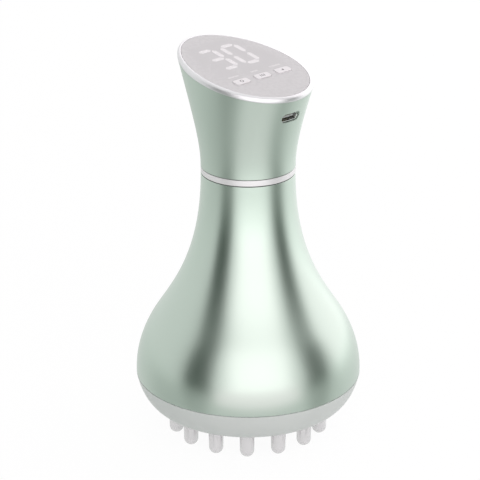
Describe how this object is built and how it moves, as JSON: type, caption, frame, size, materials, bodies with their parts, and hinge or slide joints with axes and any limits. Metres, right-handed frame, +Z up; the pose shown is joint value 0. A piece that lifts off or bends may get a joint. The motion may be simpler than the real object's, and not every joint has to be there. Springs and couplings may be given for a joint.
{
  "type": "hand-held body massager",
  "caption": "Hand-held body massager: green bell-shaped body on a ring of round-ended pins, waisted neck with a silver band, and a slanting panel with keys and figures.",
  "frame": {"origin": "on the axis of the body, level with the tips of the pins that it stands on", "axes": "+Z up along the body's axis; -Y towards the front, the low side of the slanting panel, where the charging inlet is; +X to the user's right when facing the front"},
  "size_m": [0.092, 0.092, 0.16],
  "materials": {
    "mint_paint": "satin metallic mint green paint over moulded plastic",
    "silver_trim": "satin silver",
    "bright_trim": "polished silver",
    "pale_plastic": "satin pale silver grey",
    "panel_plastic": "smooth light grey",
    "light_window": "translucent white",
    "white_plastic": "smooth white",
    "pin_plastic": "satin pale grey with a faint lilac cast",
    "dark_plastic": "matt black",
    "dark_rubber": "matt dark grey",
    "frame_plastic": "matt natural grey",
    "circuit_board": "green solder mask",
    "steel": "zinc plated",
    "plate_steel": "brushed in circles",
    "brass": "turned",
    "copper_winding": "enamelled copper wire",
    "magnet": "matt dark ferrite",
    "battery": "blue shrink sleeve",
    "heater": "amber film",
    "red_wire": "smooth red insulation",
    "yellow_wire": "smooth yellow insulation"
  },
  "bodies": {
    "housing": {"body_shell": "mint_paint", "head_shell": "mint_paint", "neck_ring": "silver_trim", "neck_gaskets": "dark_rubber", "neck_sleeve": "dark_plastic", "base_cover": "pale_plastic", "base_seal": "dark_rubber", "top_bezel": "bright_trim", "top_panel": "panel_plastic", "digit_left": "light_window", "digit_right": "light_window", "indicator_bars": "light_window", "key_switches": "dark_plastic", "display_block": "white_plastic", "main_board": "circuit_board", "board_screws": "steel", "usb_shell": "steel", "usb_tongue": "dark_plastic", "charge_board": "circuit_board", "inner_frame": "frame_plastic", "frame_screws": "steel", "battery_cell": "battery", "battery_tabs": "steel", "motor_mount": "frame_plastic", "mount_screws": "steel", "motor_can": "steel", "motor_endcap": "dark_plastic", "motor_magnets": "magnet", "motor_bushes": "brass", "motor_screws": "steel", "contact_plate": "plate_steel", "heater_film": "heater", "pin_board": "circuit_board", "base_screws": "steel", "motor_leads": "red_wire", "battery_leads": "red_wire", "heater_leads": "yellow_wire", "pin_01": "pin_plastic", "pin_02": "pin_plastic", "pin_03": "pin_plastic", "pin_04": "pin_plastic", "pin_05": "pin_plastic", "pin_06": "pin_plastic", "pin_07": "pin_plastic", "pin_08": "pin_plastic", "pin_09": "pin_plastic", "pin_10": "pin_plastic", "pin_11": "pin_plastic", "pin_12": "pin_plastic", "pin_13": "pin_plastic", "pin_14": "pin_plastic", "pin_15": "pin_plastic"},
    "left_key": {"key_left": "white_plastic"},
    "middle_key": {"key_middle": "white_plastic"},
    "right_key": {"key_right": "white_plastic"},
    "rotor": {"motor_shaft": "steel", "motor_armature": "copper_winding", "eccentric_weight": "brass"}
  },
  "joints": [
    {"name": "left_key_press", "type": "slide", "parent": "housing", "child": "left_key", "axis": [0, 0.1908, -0.9816], "range_m": [0, 0.0005], "stiffness_N_per_m": 400},
    {"name": "middle_key_press", "type": "slide", "parent": "housing", "child": "middle_key", "axis": [0, 0.1908, -0.9816], "range_m": [0, 0.0005], "stiffness_N_per_m": 400},
    {"name": "right_key_press", "type": "slide", "parent": "housing", "child": "right_key", "axis": [0, 0.1908, -0.9816], "range_m": [0, 0.0005], "stiffness_N_per_m": 400},
    {"name": "rotor_spin", "type": "hinge", "parent": "housing", "child": "rotor", "pos_m": [0, 0, 0.03], "axis": [0, 0, 1], "continuous": true}
  ]
}
